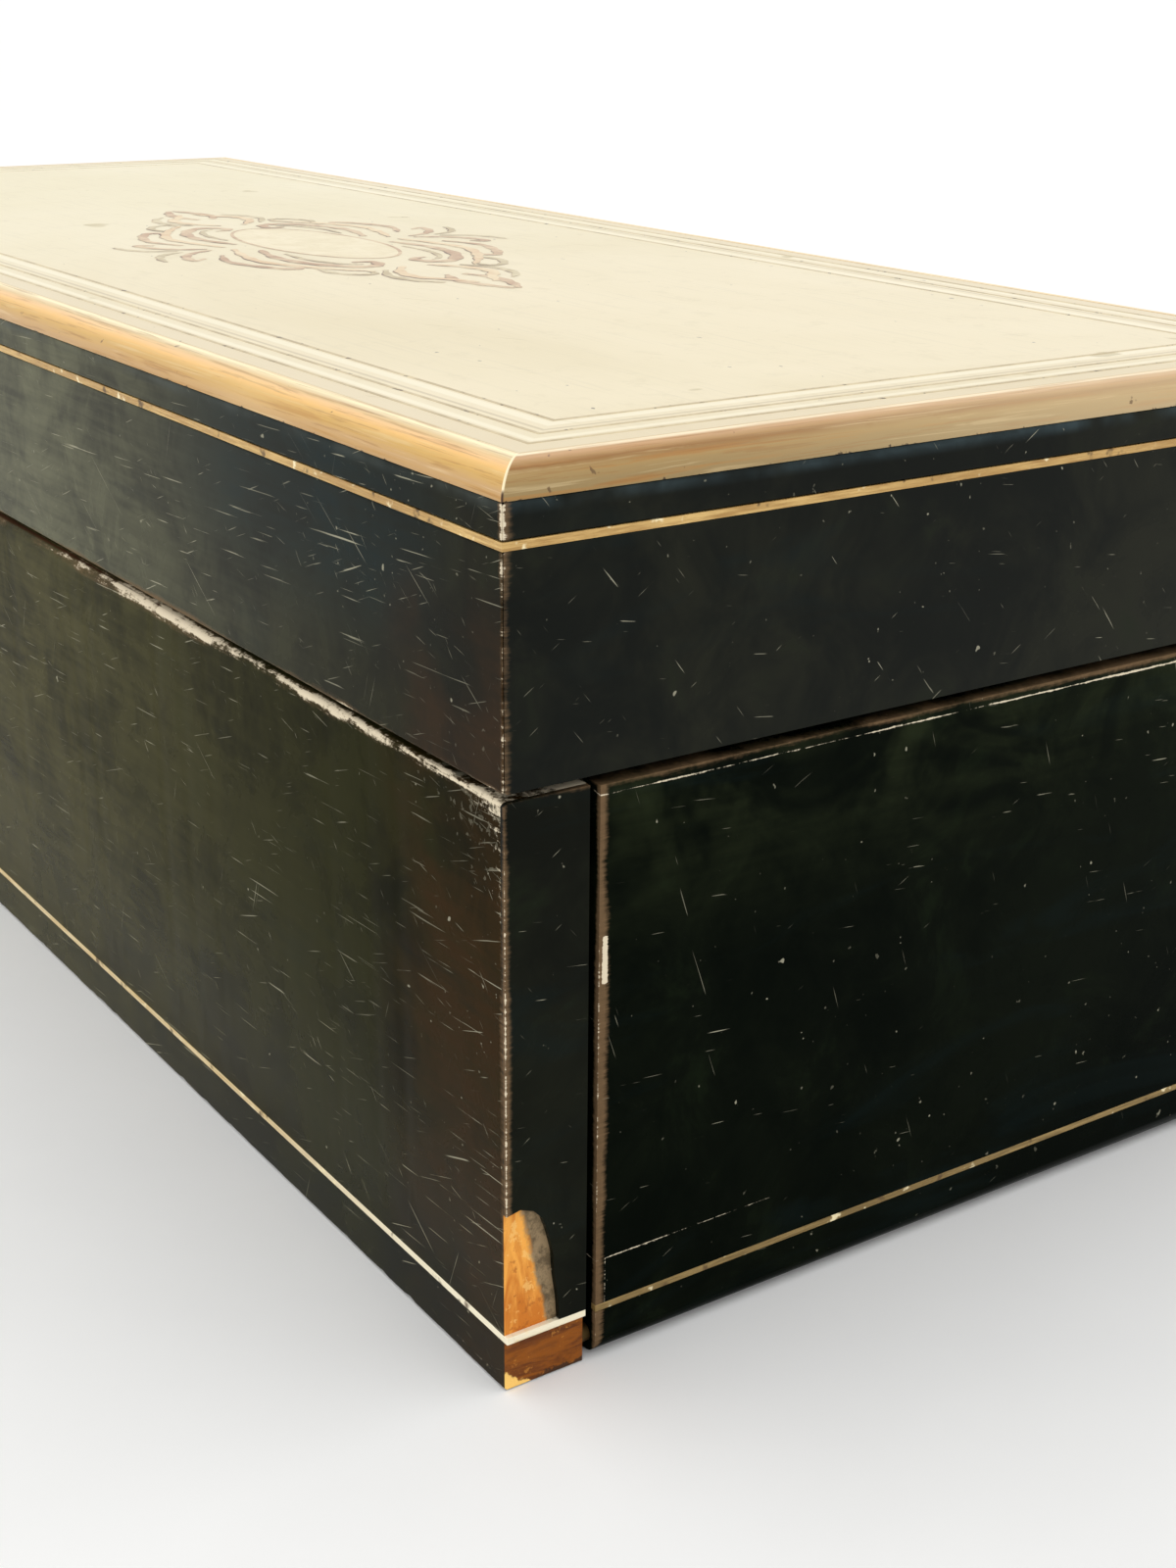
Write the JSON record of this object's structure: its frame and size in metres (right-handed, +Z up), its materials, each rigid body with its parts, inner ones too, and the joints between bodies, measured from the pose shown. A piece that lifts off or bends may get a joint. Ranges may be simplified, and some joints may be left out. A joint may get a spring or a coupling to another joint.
{
  "type": "wind-up cylinder music box",
  "caption": "Long veneered wooden case with hinged lid and drop-down end flap, holding a spring-driven pinned cylinder, steel comb, governor, levers and winding key.",
  "frame": {"origin": "centre of the case's rectangular footprint, on the surface it stands on", "axes": "+X towards the end with the drop-down flap, -Y towards the front, +Z up"},
  "size_m": [0.465, 0.1857, 0.14],
  "materials": {
    "ebonised_wood": "gloss",
    "fruitwood": "satin",
    "pale_veneer": "gloss",
    "marquetry": "gloss",
    "dark_line": "gloss",
    "boxwood": "satin",
    "plain_wood": "matte",
    "brass": "satin",
    "steel": "polished",
    "blued_steel": "satin"
  },
  "bodies": {
    "case": {"back_board": "ebonised_wood", "barrel_bridge_left": "brass", "barrel_bridge_right": "brass", "base_strings": "boxwood", "bedplate": "brass", "bedplate_battens": "plain_wood", "bedplate_screws": "steel", "bottom_board": "plain_wood", "bridge_screws": "steel", "click_screw_and_spring": "steel", "comb": "steel", "comb_base": "brass", "comb_screws": "steel", "cylinder_bridges": "brass", "flap_pivot_pins": "brass", "front_board": "ebonised_wood", "governor_frame": "brass", "governor_screws": "steel", "hinge_base_leaves": "brass", "hinge_pins": "brass", "inner_end_board": "plain_wood", "key_cradle": "plain_wood", "keyhole_plate": "brass", "left_end_board": "ebonised_wood", "lever_bracket": "brass", "lever_screws": "steel", "lock_case": "steel", "winding_key": "steel"},
    "lid": {"lid_front_rail": "ebonised_wood", "lid_back_rail": "ebonised_wood", "lid_end_rails": "ebonised_wood", "lid_strings": "boxwood", "lid_long_mouldings": "fruitwood", "lid_end_mouldings": "fruitwood", "lid_top_panel": "pale_veneer", "top_border_lines": "dark_line", "marquetry_medallion": "marquetry", "hinge_lid_leaves": "brass", "lock_striker": "brass"},
    "flap": {"end_flap": "ebonised_wood", "flap_string": "boxwood"},
    "cylinder_drive": {"cylinder_arbor": "steel", "cylinder_wheel": "brass", "cylinder_pinion": "steel"},
    "cylinder": {"cylinder_shell": "brass", "cylinder_end_caps": "brass"},
    "spring_barrel": {"great_wheel": "brass", "barrel_drum": "brass", "mainspring": "blued_steel"},
    "winding": {"winding_arbor": "steel", "ratchet_wheel": "steel"},
    "click": {"click": "steel"},
    "first_arbor": {"first_wheel_and_pinion": "steel"},
    "second_arbor": {"second_wheel_and_pinion": "steel"},
    "fly": {"governor_worm": "steel", "governor_fan": "brass"},
    "start_stop": {"start_stop_lever": "steel"},
    "change_repeat": {"change_repeat_lever": "steel"},
    "instant_stop": {"instant_stop_lever": "steel"},
    "bolt": {"lock_bolt": "steel"}
  },
  "joints": [
    {"name": "lid_hinge", "type": "hinge", "parent": "case", "child": "lid", "pos_m": [0, 0.0925, 0.0948], "axis": [-1, 0, 0], "range_deg": [0, 100]},
    {"name": "flap_hinge", "type": "hinge", "parent": "case", "child": "flap", "pos_m": [0.2295, 0, 0.0034], "axis": [0, 1, 0], "range_deg": [0, 90]},
    {"name": "cylinder_spin", "type": "hinge", "parent": "case", "child": "cylinder_drive", "pos_m": [0, 0.014, 0.06], "axis": [1, 0, 0], "continuous": true},
    {"name": "tune_change", "type": "slide", "parent": "cylinder_drive", "child": "cylinder", "axis": [1, 0, 0], "range_m": [0, 0.0024]},
    {"name": "barrel_spin", "type": "hinge", "parent": "case", "child": "spring_barrel", "pos_m": [0, -0.022, 0.05235], "axis": [1, 0, 0], "continuous": true},
    {"name": "winding_spin", "type": "hinge", "parent": "case", "child": "winding", "pos_m": [0, -0.022, 0.05235], "axis": [1, 0, 0], "continuous": true},
    {"name": "click_pivot", "type": "hinge", "parent": "case", "child": "click", "pos_m": [0.172, -0.006, 0.05995], "axis": [-1, 0, 0], "range_deg": [0, 15], "stiffness_Nm_per_rad": 0.002, "springref_deg": -11.46},
    {"name": "first_spin", "type": "hinge", "parent": "case", "child": "first_arbor", "pos_m": [-0.155, -0.01306, 0.05015], "axis": [1, 0, 0], "continuous": true},
    {"name": "second_spin", "type": "hinge", "parent": "case", "child": "second_arbor", "pos_m": [-0.16, -0.02806, 0.05015], "axis": [1, 0, 0], "continuous": true},
    {"name": "fly_spin", "type": "hinge", "parent": "case", "child": "fly", "pos_m": [-0.166, -0.03806, 0.05015], "axis": [0, 0, 1], "continuous": true},
    {"name": "start_stop_pivot", "type": "hinge", "parent": "case", "child": "start_stop", "pos_m": [0.186, 0.02, 0.06], "axis": [0, 0, 1], "range_deg": [-10, 10]},
    {"name": "change_repeat_pivot", "type": "hinge", "parent": "case", "child": "change_repeat", "pos_m": [0.186, 0.037, 0.06], "axis": [0, 0, 1], "range_deg": [-10, 10]},
    {"name": "instant_stop_pivot", "type": "hinge", "parent": "case", "child": "instant_stop", "pos_m": [0.186, 0.054, 0.06], "axis": [0, 0, 1], "range_deg": [-10, 10]},
    {"name": "lock_bolt_slide", "type": "slide", "parent": "case", "child": "bolt", "axis": [1, 0, 0], "range_m": [0, 0.01]}
  ],
  "couplings": [
    {"joint": "barrel_spin", "follows": "cylinder_spin", "ratio": -0.27778},
    {"joint": "first_spin", "follows": "cylinder_spin", "ratio": -5},
    {"joint": "second_spin", "follows": "cylinder_spin", "ratio": 20},
    {"joint": "fly_spin", "follows": "cylinder_spin", "ratio": 400}
  ]
}
